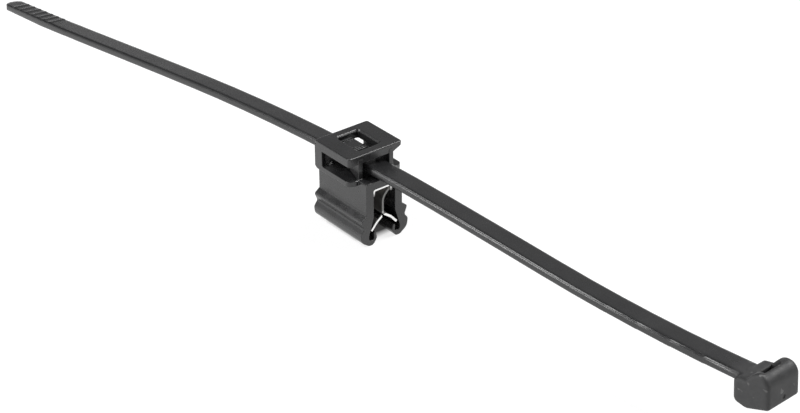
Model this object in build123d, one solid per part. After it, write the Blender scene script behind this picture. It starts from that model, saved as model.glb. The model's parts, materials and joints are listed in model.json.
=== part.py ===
from build123d import *
import os
from math import cos, radians, sin, tan

os.makedirs("parts", exist_ok=True)

# Clip moulding, millimetres. X runs along the strap, Z = 0 is the underside of the feet.
plate_length = 9.9
plate_width = 11.75
plate_top = 17.0
plate_thickness = 1.55
plate_corner = 0.5
plate_edge = 0.2
plate_bevel = 0.9
window_length = 6.2
window_width = 4.7
window_corner = 0.4
window_chamfer = 0.3

body_back = -6.4
body_front = 7.3
deck_top = 12.45
deck_thickness = 1.55
wall_half_width = 3.95
wall_thickness = 1.55

end_wall_proud = 0.15
end_wall_front = -2.85
end_wall_thickness = 0.8
end_wall_corner = 0.3
ledge_front = 5.15
ledge_thickness = 0.9
lower_corner = 1.1
post_front = 5.0
post_foot = 0.5
post_thickness = 0.9
post_haunch = 3.2

ridge_height = 5.3
ridge_reach = 1.15
notch_height = 3.7
foot_reach = 1.25
recess_half_width = 3.45
recess_floor = 1.0
hook_half_gap = 1.75
hook_top = 2.4
hook_lip = 0.4

tongue_back = -2.3
tongue_front = 1.9
tongue_end = 0.7
tongue_thickness = 0.65
tongue_sink = 0.7
tongue_rib = 0.4
tongue_rib_height = 0.3

# Spring, bent from one strip of sheet steel
sheet = 0.4
spring_inset = 0.12
bend_radius = 0.6
shoulder_radius = 0.5
shoulder_reach = 2.4
flange_end = 9.55
leg_offset = 0.05
leg_gap = 0.8
leg_set_back = 0.4
stub_reach = 1.6
knee_height = 8.4
knee_radius = 2.0
waist_height = 5.3
waist_radius = 0.3
flare_end = 2.8
flare_half_gap = 2.8
flare_bow = 0.3
flare_radius = 3.0
relief_depth = 0.8
relief_end = 0.3
relief_gap = 0.1

# Cable tie
tie_length = 198.2
strap_width = 4.6
strap_thickness = 1.4
strap_top_edge = 0.45
strap_low_edge = 0.25
tip_corner = 2.2
tip_narrowing = 0.4
narrow_length = 22.0
tip_thickness = 1.15
tip_taper = 15.0
rail_width = 0.65
channel_depth = 0.5
tooth_height = 0.35
tooth_pitch = 1.2
teeth_start = 25.0
teeth_end_gap = 9.0
rib_count = 7
rib_pitch = 2.15
rib_start = 3.65
rib_radius = 0.6
rib_height = 0.13

head_length = 6.55
head_half_width = 3.7
head_edge = 0.55
head_back_height = 3.85
head_drop = 4.45
head_front_height = 3.3
arch_height = 2.05
slot_start = 2.35
slot_clearance = 0.45
slot_side_clearance = 0.15
slot_rim = 1.0
pawl_half_width = 1.5
pawl_reach = 0.62
pawl_height = 2.6
dimple_radius = 0.35
dimple_depth = 0.12
dimple_drop = 2.2

# Lie of the strap: each station is a share of the tie's length with the slope there in degrees
bend_stations = (0.0, 0.17, 0.32, 0.648, 0.774)
bend_slopes = (2.77, 3.98, 3.49, -3.77, -4.18)
head_slope = 2.24
head_twist = (4.7, -3.8, -3.0)
clip_station = 107.55
strap_rest_gap = 0.06
strap_side_gap = 0.16
strap_yaw = 5.48
strap_roll = -6.23

plate_under = plate_top - plate_thickness
plate_half_width = plate_width / 2
window_half_width = window_width / 2
deck_under = deck_top - deck_thickness
wall_inner = wall_half_width - wall_thickness
end_wall_back = -plate_length / 2 - end_wall_proud
end_wall_inner = plate_half_width - end_wall_thickness
strap_half_width = strap_width / 2
yaw = radians(strap_yaw)
passage_half_width = strap_half_width / cos(yaw) + post_front * tan(yaw) + strap_side_gap
slot_end = slot_start + strap_thickness + slot_clearance
slot_half_width = strap_half_width + slot_side_clearance


def side_pair(solid):
    """A solid together with its mirror image on the other side of the strap."""
    return solid + mirror(solid, about=Plane.XZ)


def rounded_face(plane, corners):
    """A face on the plane from corners given as (first, second, radius)."""
    outline = FilletPolyline(*[c[:2] for c in corners], radius=[c[2] for c in corners], close=True)
    return plane * make_face(outline)


def between(face, start, end, direction):
    """The face of a plane through the origin, extruded from start to end along its direction."""
    return extrude(Pos(*(direction * start)) * face, amount=end - start, dir=direction)


def lower_section():
    """Half of the section across the strap: deck, wall, ridge, foot and hook."""
    foot_out = wall_half_width + foot_reach
    hook_tip = hook_half_gap + 0.2
    return (
        (0, deck_top, 0),
        (wall_half_width, deck_top, 0.35),
        (wall_half_width, ridge_height + 0.85, 0.3),
        (wall_half_width + ridge_reach, ridge_height, 0.45),
        (wall_half_width + 0.55, notch_height, 0.5),
        (foot_out + 0.05, notch_height - 0.95, 0.8),
        (foot_out - 0.1, 1.15, 1.5),
        (foot_out - 1.75, 0, 1.2),
        (hook_half_gap + 0.75, 0, 0.9),
        (hook_half_gap - 0.05, 1.15, 0.9),
        (hook_tip, hook_top + 0.05, 0.15),
        (hook_tip + hook_lip, hook_top - 0.05, 0.15),
        (hook_tip + hook_lip - 0.1, recess_floor - 0.05, 0.45),
        (recess_half_width + 0.05, recess_floor + 0.05, 0.5),
        (recess_half_width, recess_floor + 1.1, 0.5),
        (wall_inner, waist_height + 0.15, 0.8),
        (wall_inner, deck_under, 0.4),
        (0, deck_under, 0),
    )


def clip_sides():
    """The length of the clip below the strap, as two mirrored halves of one section."""
    half = between(rounded_face(Plane.YZ, lower_section()), body_back, body_front, Vector(1, 0, 0))
    return side_pair(half)


def end_walls_and_ledges():
    """The thin end walls at the back with the ledge that runs forward from each."""
    ledge_under = deck_top - ledge_thickness
    top = plate_under + plate_thickness / 2
    side_view = (
        (end_wall_back, top, 0),
        (end_wall_back, ledge_under, lower_corner),
        (ledge_front, ledge_under, 0),
        (ledge_front, deck_top, 0.2),
        (end_wall_front, deck_top, 0.3),
        (end_wall_front, top, 0),
    )
    inner = wall_half_width - wall_thickness / 2
    plan = (
        (end_wall_back, inner, 0),
        (end_wall_back, plate_half_width, end_wall_corner),
        (ledge_front - 0.5, plate_half_width, 0.9),
        (ledge_front, wall_half_width + 0.5, 0.4),
        (ledge_front, inner, 0),
    )
    across = Vector(0, 1, 0)
    block = between(rounded_face(Plane.XZ, side_view), inner, plate_half_width, across)
    block = block & between(rounded_face(Plane.XY, plan), 0, plate_top, Vector(0, 0, 1))
    room_face = Rectangle(end_wall_front - end_wall_back, end_wall_inner - inner, align=Align.MIN)
    room = between(Pos(end_wall_back, inner) * room_face, deck_top, plate_top, Vector(0, 0, 1))
    return side_pair(block - room)


def posts():
    """The two slim posts at the front, each with a haunch that spreads back under the plate."""
    inside = plate_under + plate_thickness / 2
    foot_back = post_front - post_foot
    side_view = (
        (post_front, deck_top - 0.3, 0),
        (post_front, inside, 0),
        (foot_back - post_haunch, inside, 0),
        (foot_back - post_haunch, plate_under - 1.0, 0.8),
        (foot_back - post_haunch / 2, deck_top + 0.75, 2.0),
        (foot_back, deck_top + 0.1, 0.2),
        (foot_back, deck_top - 0.3, 0),
    )
    outer = passage_half_width + post_thickness
    post = between(rounded_face(Plane.XZ, side_view), passage_half_width, outer, Vector(0, 1, 0))
    return side_pair(post)


def top_plate():
    """The plate with its rounded rim, the chamfered window and the bevel under one side."""
    plate = extrude(RectangleRounded(plate_length, plate_width, plate_corner), plate_thickness)
    plate = fillet(plate.faces().sort_by(Axis.Z)[-1].outer_wire().edges(), plate_edge)
    window = extrude(RectangleRounded(window_length, window_width, window_corner), plate_thickness)
    plate = Pos(0, 0, plate_under) * (plate - window)
    bevel = Polyline(
        (passage_half_width + post_thickness, plate_under),
        (plate_half_width, plate_under + plate_bevel),
        (plate_half_width, plate_under),
        close=True,
    )
    plate -= between(Plane.YZ * make_face(bevel), end_wall_front, plate_length / 2, Vector(1, 0, 0))
    rim = plate.faces().sort_by(Axis.Z)[-1].inner_wires()[0].edges()
    return chamfer(rim, window_chamfer)


def tongue():
    """The retaining tongue in the window, rooted on one side, with a rib along each edge."""
    root = -window_half_width - 0.3
    top = plate_top - tongue_sink
    side_view = (
        (root, top, 0),
        (root, top - tongue_thickness, 0),
        (tongue_end, top - tongue_thickness, 0.15),
        (tongue_end, top, 0.3),
    )
    along = Vector(1, 0, 0)
    leaf = between(rounded_face(Plane.YZ, side_view), tongue_back, tongue_front, along)
    rib_view = (
        (root, top + tongue_rib_height, 0),
        (root, top - tongue_thickness / 2, 0),
        (tongue_end - 0.35, top - tongue_thickness / 2, 0),
        (tongue_end - 0.35, top + tongue_rib_height, 0.25),
    )
    rib = rounded_face(Plane.YZ, rib_view)
    for rib_back in (tongue_back, tongue_front - 2.5 * tongue_rib):
        leaf += between(rib, rib_back, rib_back + tongue_rib, along)
    return leaf


def clip_body():
    """The whole clip, moulded as one piece."""
    return clip_sides() + end_walls_and_ledges() + posts() + top_plate() + tongue()


def spring_clip():
    """The steel spring: each end has a flange on one side, and on the other a leg and its short stub."""
    half = sheet / 2
    web = deck_under - half
    flange = wall_inner - half
    knee = min(knee_radius, 0.9 * (web - knee_height))
    leg_path = FilletPolyline(
        (0, web),
        (shoulder_reach, web),
        (leg_offset, knee_height),
        (leg_offset, waist_height),
        ((leg_offset + flare_half_gap) / 2 + flare_bow / 2, (waist_height + flare_end) / 2 + flare_bow / 2),
        (flare_half_gap, flare_end),
        radius=[shoulder_radius, knee, waist_radius, flare_radius],
    )
    leg_strip = Plane.YZ * trace(leg_path, sheet)
    flange_path = FilletPolyline((0, web), (-flange, web), (-flange, flange_end), radius=bend_radius - half)
    flange_strip = Plane.YZ * trace(flange_path, sheet)
    back = body_back + spring_inset
    front = body_front - spring_inset
    middle = (back + front) / 2
    leg_back = middle + leg_gap / 2
    along = Vector(1, 0, 0)
    stub_points = ((0, web), (stub_reach, web), (stub_reach, flange_end))
    stub_path = FilletPolyline(*stub_points, radius=bend_radius - half)
    stub_strip = Plane.YZ * trace(stub_path, sheet)
    leg_front = front - leg_set_back
    end = between(leg_strip, leg_back, leg_front, along) + between(flange_strip, middle, front, along)
    end += between(stub_strip, leg_front, front, along)
    clear = sheet - leg_offset + relief_gap
    corner = (Align.MIN, Align.MIN, Align.MIN)
    low = Pos(back, clear, 0) * Box(front - back, flare_half_gap, waist_height, align=corner)
    low += Pos(leg_back, -sheet, 0) * Box(front - leg_back, flare_half_gap, waist_height, align=corner)
    flare = between(leg_strip, back, front, along) & low
    notch = Box(leg_back - back - relief_end, relief_depth, waist_height, align=corner)
    flare -= Pos(back + relief_end, clear, flare_end) * notch
    end += flare
    bridge = Pos(middle, 0, web) * Box(front - back - 2 * leg_set_back, shoulder_reach, sheet)
    return end + bridge + Pos(2 * middle, 0, 0) * Rot(0, 0, 180) * end


def strap_point(station, depth=0.0):
    """The point at a distance from the tip, a depth below the strap's top face, and the slope there."""
    stations = [share * tie_length for share in bend_stations] + [tie_length - head_length]
    slopes = list(bend_slopes) + [head_slope]
    x, z, slope = 0.0, 0.0, slopes[0]
    for start, end, begin, finish in zip(stations, stations[1:], slopes, slopes[1:]):
        run = min(station, end) - start
        if run > 0:
            turn = (finish - begin) * run / (end - start)
            half_turn = radians(turn / 2)
            chord = run * sin(half_turn) / half_turn
            x += chord * cos(radians(slope) + half_turn)
            z += chord * sin(radians(slope) + half_turn)
            slope += turn
    beyond = max(station - stations[-1], 0)
    x += beyond * cos(radians(slope)) + depth * sin(radians(slope))
    z += beyond * sin(radians(slope)) - depth * cos(radians(slope))
    return x, z, slope


def on_strap(station, depth=0.0):
    """The place on the strap at a distance from the tip, turned to the slope there."""
    x, z, slope = strap_point(station, depth)
    return Pos(x, 0, z) * Rot(0, -slope, 0)


def side_point(station, depth):
    """The same point as a pair for the plane seen from the side."""
    return strap_point(station, depth)[:2]


def strap_section():
    """The section of the band, its top face level with the path."""
    corners = (
        (-strap_half_width, -strap_thickness, strap_low_edge),
        (strap_half_width, -strap_thickness, strap_low_edge),
        (strap_half_width, 0, strap_top_edge),
        (-strap_half_width, 0, strap_top_edge),
    )
    return rounded_face(Plane.XY, corners)


def strap():
    """The band of the tie, swept along its curve, rounded, narrowed and thinned at the tip."""
    end = tie_length - head_length + 1.0
    stations = [share * tie_length for share in bend_stations] + [tie_length - head_length, end]
    path = Curve()
    for start, finish in zip(stations, stations[1:]):
        points = [strap_point(s) for s in (start, (start + finish) / 2, finish)]
        first, middle, last = [Vector(p[0], 0, p[1]) for p in points]
        straight = finish == end
        path += Line(first, last) if straight else ThreePointArc(first, middle, last)
    first = strap_point(0)
    start_plane = Plane(
        origin=(first[0], 0, first[1]),
        x_dir=(0, 1, 0),
        z_dir=(cos(radians(first[2])), 0, sin(radians(first[2]))),
    )
    band = sweep(start_plane * strap_section(), path=path)
    corner = Rectangle(2 * tip_corner, 2 * strap_width) - Pos(tip_corner, 0) * Circle(tip_corner)
    corner = corner & Pos(0, strap_width) * Rectangle(2 * tip_corner, 2 * strap_width)
    cut = extrude(Pos(0, strap_half_width - tip_corner, -2 * strap_thickness) * corner, 3 * strap_thickness)
    below = strap_thickness + 1.0
    wedge = Polyline(
        side_point(0, tip_thickness),
        side_point(tip_taper, strap_thickness),
        side_point(tip_taper, below),
        side_point(0, below),
        close=True,
    )
    thinning = between(Plane.XZ * make_face(wedge), -strap_width, strap_width, Vector(0, 1, 0))
    near = -strap_half_width
    side = Polyline(
        (0, near + tip_narrowing),
        (narrow_length, near),
        (narrow_length, near - tip_narrowing),
        (0, near - tip_narrowing),
        close=True,
    )
    narrowing = between(Plane.XY * make_face(side), -3 * strap_thickness, strap_thickness, Vector(0, 0, 1))
    return band - on_strap(0) * (side_pair(cut) + narrowing) - thinning


def tooth_space():
    """The space between the rails under the strap, bounded by the row of sawteeth."""
    root = strap_thickness - channel_depth
    crest = root + tooth_height
    count = int((tie_length - teeth_end_gap - teeth_start) / tooth_pitch)
    saw = []
    for k in range(count):
        start = teeth_start + k * tooth_pitch
        saw += [side_point(start, root), side_point(start + 0.85 * tooth_pitch, crest)]
    last = teeth_start + count * tooth_pitch
    below = strap_thickness + 1.0
    steps = 12
    spacing = (last - teeth_start) / steps
    saw += [side_point(last - k * spacing, below) for k in range(steps + 1)]
    face = Plane.XZ * make_face(Polyline(*saw, close=True))
    reach = strap_half_width - rail_width
    return between(face, -reach, reach, Vector(0, 1, 0))


def grip_ribs():
    """The cross ribs on the tip, each a shallow slice of a round bar."""
    rib = Rot(90, 0, 0) * Cylinder(rib_radius, strap_width - 2 * strap_top_edge)
    ribs = [on_strap(rib_start + k * rib_pitch, rib_radius - rib_height) * rib for k in range(rib_count)]
    return ribs


def head_block():
    """The outside of the head: its frame starts at the strap's top face where the strap ends."""
    side_view = (
        (0, 0, 0.6),
        (slot_start - 0.18, 0.3, 0.4),
        (slot_start + 1.4, arch_height, 1.7),
        (head_length - 0.1, arch_height, 1.9),
        (head_length, -head_front_height, 0.6),
        (0.36 * head_length, -head_drop, 2.0),
        (0.05, -head_back_height, 1.0),
    )
    across = Vector(0, 1, 0)
    block = between(rounded_face(Plane.XZ, side_view), -head_half_width, head_half_width, across)
    sides = block.faces().sort_by(Axis.Y)
    return fillet(sides[0].edges() + sides[-1].edges(), head_edge)


def pawl():
    """The moulded pawl that leans into the slot, with three catching teeth."""
    tip = slot_start + pawl_reach
    foot = -head_drop + 1.1
    side_view = Polyline(
        (slot_start - 0.4, foot),
        (slot_start, foot),
        (tip - 0.25, foot + 1.1),
        (tip - 0.05, foot + 1.15),
        (tip - 0.2, foot + 1.5),
        (tip, foot + 1.55),
        (tip - 0.15, foot + 1.95),
        (tip + 0.05, foot + 2.0),
        (tip - 0.1, foot + pawl_height),
        (tip - 0.4, foot + pawl_height),
        (slot_start + 0.05, foot + 1.0),
        (slot_start - 0.4, foot + 0.8),
        close=True,
    )
    face = Plane.XZ * make_face(side_view)
    return between(face, -pawl_half_width, pawl_half_width, Vector(0, 1, 0))


def head():
    """The head with its slot, the pawl in it and the dimple on its end."""
    over = arch_height + 0.3
    slot_view = (
        (slot_start, -head_drop - 1.0, 0),
        (slot_end, -head_drop - 1.0, 0),
        (slot_end, arch_height - slot_rim, 0.8),
        (slot_end + 0.8 * slot_rim, over, 0),
        (slot_start, over, 0),
    )
    slot = between(rounded_face(Plane.XZ, slot_view), -slot_half_width, slot_half_width, Vector(0, 1, 0))
    dimple = Pos(head_length, 0, -dimple_drop) * Rot(0, 90, 0) * Cylinder(dimple_radius, 2 * dimple_depth)
    return head_block() - slot - dimple + pawl()


def cable_tie():
    """The tie, moulded as one piece, laid through the clip with the strap's own yaw and roll."""
    tie = strap() - tooth_space()
    tie = tie + grip_ribs() + on_strap(tie_length - head_length) * Rot(*head_twist) * head()
    at_clip = strap_point(clip_station)
    front_drop = at_clip[1] - strap_point(clip_station + body_front)[1]
    roll = radians(abs(strap_roll))
    below = strap_thickness * cos(roll) + strap_half_width * sin(roll)
    height = deck_top + strap_rest_gap + front_drop + below
    lie = Pos(0, 0, height) * Rot(0, 0, strap_yaw) * Rot(strap_roll, 0, 0)
    return lie * Pos(-at_clip[0], 0, -at_clip[1]) * tie


export_step(clip_body(), "parts/clip_body.step")
export_step(spring_clip(), "parts/spring_clip.step")
export_step(cable_tie(), "parts/cable_tie.step")
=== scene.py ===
import json
import math

import bpy
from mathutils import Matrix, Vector

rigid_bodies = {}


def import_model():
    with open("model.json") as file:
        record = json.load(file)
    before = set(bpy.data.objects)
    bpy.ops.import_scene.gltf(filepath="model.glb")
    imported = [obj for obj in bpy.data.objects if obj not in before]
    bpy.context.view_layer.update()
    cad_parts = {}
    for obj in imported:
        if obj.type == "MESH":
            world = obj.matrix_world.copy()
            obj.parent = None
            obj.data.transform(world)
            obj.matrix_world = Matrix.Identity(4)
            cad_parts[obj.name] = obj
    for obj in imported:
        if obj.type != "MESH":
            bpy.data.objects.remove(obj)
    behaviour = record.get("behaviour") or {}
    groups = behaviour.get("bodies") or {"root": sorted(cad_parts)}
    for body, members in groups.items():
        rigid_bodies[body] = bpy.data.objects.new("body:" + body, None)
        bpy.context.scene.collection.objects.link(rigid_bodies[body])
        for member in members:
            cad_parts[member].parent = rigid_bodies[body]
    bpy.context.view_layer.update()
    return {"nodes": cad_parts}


# Lengths are in metres, angles in degrees, colours in linear red, green and blue.

# Black moulded nylon
NYLON_DARK = (0.019, 0.019, 0.02)
NYLON_LIGHT = (0.027, 0.027, 0.028)
NYLON_IOR = 1.6
NYLON_GRAIN_DEPTH = 0.00004
TIE_GLOSS = (0.18, 0.28)
TIE_GRAIN = 0.25
TIE_EDGE = 0.0008
CLIP_GLOSS = (0.22, 0.32)
CLIP_GRAIN = 0.35
CLIP_EDGE = 0.00018
EDGE_SAMPLES = 16

# The scuffed end of the tie, at its head
SCUFF_START = 0.081
SCUFF_FADE = 0.004
SCUFF_DARK = (0.013, 0.013, 0.014)
SCUFF_LIGHT = (0.045, 0.045, 0.046)
SCUFF_GLOSS = (0.5, 0.68)
DUST = (0.13, 0.13, 0.13)

# Spring steel: rolled faces, bright sheared edges, and painted shade on the legs' edges
STEEL_FACE = ((0.5, 0.49, 0.475), (0.62, 0.61, 0.595))
STEEL_CUT = ((0.9, 0.9, 0.89), (0.97, 0.97, 0.96))
STEEL_LEG_EDGE_SHADE = (0.2, 0.2, 0.195)
STEEL_GLOSS = (0.38, 0.55)
STEEL_LINE_DEPTH = 0.00003
LEG_FOOT = (0.0052, 0.0058)
LEG_HEAD = (0.0097, 0.0104)

# Floor, and the painted shadow under the clip: a box where the floor's glow is left out
FLOOR_HALF = 2.0
FLOOR_DARK = (0.3, 0.3, 0.3)
FLOOR_LIGHT = (0.34, 0.34, 0.34)
SHADOW_X = (0.0, 0.0042)
SHADOW_Y = (0.0008, 0.0034)
SHADOW_FADE = 0.0018
SHADOW_GLOW = (0.03, 0.8)

# World: the horizon's height, and the sky's level from the near side, -Y, round to the far side, +Y
HORIZON = (0.06, 0.13)
HORIZON_COLOUR = (1.0, 1.0, 1.0)
SKY_LEVELS = (
    (0.05, 0.3),
    (0.13, 0.08),
    (0.19, 1.0),
    (0.26, 0.5),
    (0.34, 0.08),
    (0.6, 0.05),
    (0.76, 0.25),
    (1.0, 0.35),
)

# Lamps: name, azimuth, elevation, width, height and power in watts
LAMP_AIM = Vector((0, 0, 0.01))
LAMP_DISTANCE = 1.0
LAMPS = (
    ("front", -122, 56, 0.4, 0.4, 4.5),
    ("edge", -115, 13, 0.2, 0.3, 2.4),
    ("rim", 72, 52, 0.35, 0.35, 6.5),
)

for old in list(bpy.data.objects):
    bpy.data.objects.remove(old)
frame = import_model()
scene = bpy.context.scene


class Nodes:
    """The nodes of one material or of the world."""

    def __init__(self, tree):
        self.tree = tree
        tree.nodes.clear()

    def add(self, kind, **settings):
        node = self.tree.nodes.new(kind)
        for key, value in settings.items():
            setattr(node, key, value)
        return node

    def link(self, output, socket):
        self.tree.links.new(output, socket)

    def noise(self, coords, scale, detail=2.0, roughness=0.5):
        texture = self.add("ShaderNodeTexNoise")
        texture.inputs["Scale"].default_value = scale
        texture.inputs["Detail"].default_value = detail
        texture.inputs["Roughness"].default_value = roughness
        self.link(coords, texture.inputs["Vector"])
        return texture.outputs["Fac"]

    def spread(self, value, low, high, start=0.3, end=0.7):
        """A value from low to high as the input goes from start to end."""
        span = self.add("ShaderNodeMapRange")
        for name, number in (("From Min", start), ("From Max", end), ("To Min", low), ("To Max", high)):
            span.inputs[name].default_value = number
        self.link(value, span.inputs["Value"])
        return span.outputs["Result"]

    def tint(self, value, dark, light, start=0.3, end=0.7):
        """A colour from dark to light as the input goes from start to end."""
        ramp = self.add("ShaderNodeValToRGB")
        for stop, place, colour in zip(ramp.color_ramp.elements, (start, end), (dark, light)):
            stop.position = place
            stop.color = (*colour, 1)
        self.link(value, ramp.inputs["Fac"])
        return ramp.outputs["Color"]

    def calculate(self, operation, *values):
        """The result of a math node on outputs and plain numbers."""
        node = self.add("ShaderNodeMath", operation=operation)
        for value, socket in zip(values, node.inputs):
            if isinstance(value, (int, float)):
                socket.default_value = value
            else:
                self.link(value, socket)
        return node.outputs[0]

    def blend(self, share, first, second):
        """A colour from first to second, each an output or a plain colour."""
        node = self.add("ShaderNodeMix", data_type="RGBA")
        self.link(share, node.inputs[0])
        for value, socket in ((first, node.inputs[6]), (second, node.inputs[7])):
            if isinstance(value, tuple):
                socket.default_value = (*value, 1)
            else:
                self.link(value, socket)
        return node.outputs[2]

    def blend_values(self, share, first, second):
        node = self.add("ShaderNodeMix", data_type="FLOAT")
        for value, socket in ((share, node.inputs[0]), (first, node.inputs[2]), (second, node.inputs[3])):
            self.link(value, socket)
        return node.outputs[0]

    def parts(self, vector):
        """The X, Y and Z outputs of a vector."""
        node = self.add("ShaderNodeSeparateXYZ")
        self.link(vector, node.inputs["Vector"])
        return node.outputs

    def bump(self, height, strength, distance):
        node = self.add("ShaderNodeBump")
        node.inputs["Strength"].default_value = strength
        node.inputs["Distance"].default_value = distance
        self.link(height, node.inputs["Height"])
        return node

    def beyond(self, value, centre, reach):
        """How far a coordinate lies outside a band, zero within it."""
        off = self.calculate("ABSOLUTE", self.calculate("SUBTRACT", value, centre))
        return self.calculate("MAXIMUM", self.calculate("SUBTRACT", off, reach), 0.0)


def material(name):
    """A new material with its nodes, its output's surface socket and its principled shader."""
    mat = bpy.data.materials.new(name)
    mat.use_nodes = True
    n = Nodes(mat.node_tree)
    surface = n.add("ShaderNodeOutputMaterial").inputs["Surface"]
    return mat, n, surface, n.add("ShaderNodeBsdfPrincipled")


def nylon(name, gloss_range, grain, edge, scuff_start=None):
    """Black moulded nylon: mottled colour, uneven gloss, fine grain, softly rounded edges.

    Beyond the place along X named in scuff_start, the surface is scuffed: duller, cloudy and dusty.
    """
    mat, n, surface, shader = material(name)
    shader.inputs["IOR"].default_value = NYLON_IOR
    coords = n.add("ShaderNodeTexCoord").outputs["Object"]
    colour = n.tint(n.noise(coords, 160, 3), NYLON_DARK, NYLON_LIGHT)
    gloss = n.spread(n.noise(coords, 420, 4), *gloss_range)
    if scuff_start is not None:
        along = n.parts(coords)["X"]
        scuffed = n.spread(along, 0, 1, scuff_start, scuff_start + SCUFF_FADE)
        cloud = n.noise(coords, 700, 4, 0.6)
        dust = n.spread(n.noise(coords, 900, 1), 0, 1, 0.68, 0.76)
        colour = n.blend(scuffed, colour, n.tint(cloud, SCUFF_DARK, SCUFF_LIGHT))
        colour = n.blend(n.calculate("MULTIPLY", dust, scuffed), colour, DUST)
        gloss = n.blend_values(scuffed, gloss, n.spread(cloud, *SCUFF_GLOSS))
    n.link(colour, shader.inputs["Base Color"])
    n.link(gloss, shader.inputs["Roughness"])
    soft = n.add("ShaderNodeBevel", samples=EDGE_SAMPLES)
    soft.inputs["Radius"].default_value = edge
    bump = n.bump(n.noise(coords, 5200, 3, 0.6), grain, NYLON_GRAIN_DEPTH)
    n.link(soft.outputs["Normal"], bump.inputs["Normal"])
    n.link(bump.outputs["Normal"], shader.inputs["Normal"])
    n.link(shader.outputs["BSDF"], surface)
    return mat


def spring_steel(name):
    """Rolled strip: cool grey faces with fine rolling lines along the strip, bright sheared edges, and
    painted shade on the legs' sheared edges, which lie set back.
    """
    mat, n, surface, shader = material(name)
    shader.inputs["Metallic"].default_value = 1.0
    texture = n.add("ShaderNodeTexCoord")
    coords = texture.outputs["Object"]
    stretch = n.add("ShaderNodeMapping")
    stretch.inputs["Scale"].default_value = (0.05, 1, 1)
    n.link(coords, stretch.inputs["Vector"])
    lines = n.noise(stretch.outputs["Vector"], 6000, 3)
    cloud = n.noise(coords, 500, 3)
    facing = n.calculate("ABSOLUTE", n.parts(texture.outputs["Normal"])["X"])
    sheared = n.spread(facing, 0, 1, 0.7, 0.9)
    height = n.parts(coords)["Z"]
    # Between these heights the legs' sheared edges get a darker colour: painted shade where they lie set
    # back
    leg = n.calculate("MULTIPLY", n.spread(height, 0, 1, *LEG_FOOT), n.spread(height, 1, 0, *LEG_HEAD))
    cut = n.blend(leg, n.tint(cloud, *STEEL_CUT), STEEL_LEG_EDGE_SHADE)
    n.link(n.blend(sheared, n.tint(cloud, *STEEL_FACE), cut), shader.inputs["Base Color"])
    n.link(n.spread(lines, *STEEL_GLOSS), shader.inputs["Roughness"])
    n.link(n.bump(lines, 0.15, STEEL_LINE_DEPTH).outputs["Normal"], shader.inputs["Normal"])
    n.link(shader.outputs["BSDF"], surface)
    return mat


def floor_paper(name):
    """Pale paper that the camera and reflections see as white, except in a box under the clip, where the
    glow is left out as a painted shadow on top of the real one.
    """
    mat, n, surface, paper = material(name)
    paper.inputs["Roughness"].default_value = 0.9
    paper.inputs["Specular IOR Level"].default_value = 0.0
    coords = n.add("ShaderNodeTexCoord").outputs["Object"]
    n.link(n.tint(n.noise(coords, 30, 2), FLOOR_DARK, FLOOR_LIGHT), paper.inputs["Base Color"])
    path = n.add("ShaderNodeLightPath")
    seen = n.calculate("MAXIMUM", path.outputs["Is Camera Ray"], path.outputs["Is Glossy Ray"])
    place = n.parts(coords)
    # Painted shadow: the glow fades out in and near a box under the clip, so the paper shows darker there
    gap = n.calculate("ADD", n.beyond(place["X"], *SHADOW_X), n.beyond(place["Y"], *SHADOW_Y))
    lit = n.spread(gap, *SHADOW_GLOW, 0.0, SHADOW_FADE)
    glow = n.add("ShaderNodeEmission")
    n.link(n.calculate("MULTIPLY", seen, lit), glow.inputs["Strength"])
    both = n.add("ShaderNodeAddShader")
    n.link(paper.outputs["BSDF"], both.inputs[0])
    n.link(glow.outputs["Emission"], both.inputs[1])
    # The paper is clear from below, so that the underside of the object can be looked at
    sides = n.add("ShaderNodeMixShader")
    n.link(n.add("ShaderNodeNewGeometry").outputs["Backfacing"], sides.inputs[0])
    n.link(both.outputs["Shader"], sides.inputs[1])
    n.link(n.add("ShaderNodeBsdfTransparent").outputs["BSDF"], sides.inputs[2])
    n.link(sides.outputs["Shader"], surface)
    return mat


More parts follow.
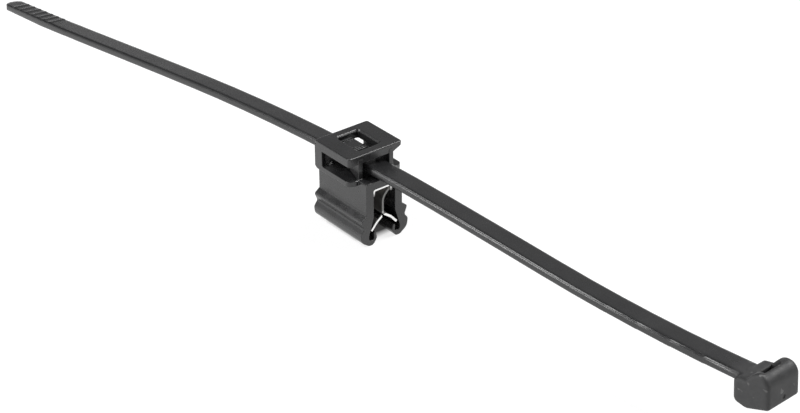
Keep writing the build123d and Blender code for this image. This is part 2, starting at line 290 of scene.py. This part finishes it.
def studio_sky(name):
    """A world that is white at the horizon and dim higher up, as in a light tent with an open top."""
    world = bpy.data.worlds.new(name)
    world.use_nodes = True
    n = Nodes(world.node_tree)
    surface = n.add("ShaderNodeOutputWorld").inputs["Surface"]
    sky = n.add("ShaderNodeBackground")
    direction = n.parts(n.add("ShaderNodeTexCoord").outputs["Generated"])
    levels = n.add("ShaderNodeValToRGB")
    levels.color_ramp.interpolation = "EASE"
    stops = levels.color_ramp.elements
    for k, (place, level) in enumerate(SKY_LEVELS):
        stop = stops[k] if k < 2 else stops.new(place)
        stop.position = place
        stop.color = (level, level, level, 1)
    n.link(n.spread(direction["Y"], 0, 1, -1, 1), levels.inputs["Fac"])
    height = n.spread(direction["Z"], 0, 1, *HORIZON)
    n.link(n.blend(height, HORIZON_COLOUR, levels.outputs["Color"]), sky.inputs["Color"])
    n.link(sky.outputs["Background"], surface)
    return world


def dress(obj, mat):
    for slot in obj.material_slots:
        slot.material = mat


def softbox(name, azimuth, elevation, width, height, power):
    light = bpy.data.lights.new(name, "AREA")
    light.shape = "RECTANGLE"
    light.size = width
    light.size_y = height
    light.energy = power
    lamp = bpy.data.objects.new(name, light)
    scene.collection.objects.link(lamp)
    a, e = math.radians(azimuth), math.radians(elevation)
    towards = Vector((math.cos(e) * math.cos(a), math.cos(e) * math.sin(a), math.sin(e)))
    lamp.location = LAMP_AIM + LAMP_DISTANCE * towards
    lamp.rotation_euler = (LAMP_AIM - lamp.location).to_track_quat("-Z", "Y").to_euler()


dress(frame["nodes"]["cable_tie"], nylon("tie_nylon", TIE_GLOSS, TIE_GRAIN, TIE_EDGE, SCUFF_START))
dress(frame["nodes"]["clip_body"], nylon("clip_nylon", CLIP_GLOSS, CLIP_GRAIN, CLIP_EDGE))
dress(frame["nodes"]["spring_clip"], spring_steel("spring_steel"))

# Floor
floor_mesh = bpy.data.meshes.new("floor")
corners = [(x * FLOOR_HALF, y * FLOOR_HALF, 0) for x, y in ((-1, -1), (1, -1), (1, 1), (-1, 1))]
floor_mesh.from_pydata(corners, [], [(0, 1, 2, 3)])
floor = bpy.data.objects.new("floor", floor_mesh)
scene.collection.objects.link(floor)
floor_mesh.materials.append(floor_paper("floor_paper"))

scene.world = studio_sky("studio")
for lamp_values in LAMPS:
    softbox(*lamp_values)

# Camera
camera = bpy.data.cameras.new("camera")
camera.sensor_width = 36
camera.lens = 80.455
camera.clip_start = 0.01
view = bpy.data.objects.new("camera", camera)
view.location = (0.2188, -0.1679, 0.16405)
view.rotation_euler = (math.radians(59.79), 0, math.radians(50.98))
scene.collection.objects.link(view)
scene.camera = view
scene.view_settings.view_transform = "Standard"

bpy.context.view_layer.update()
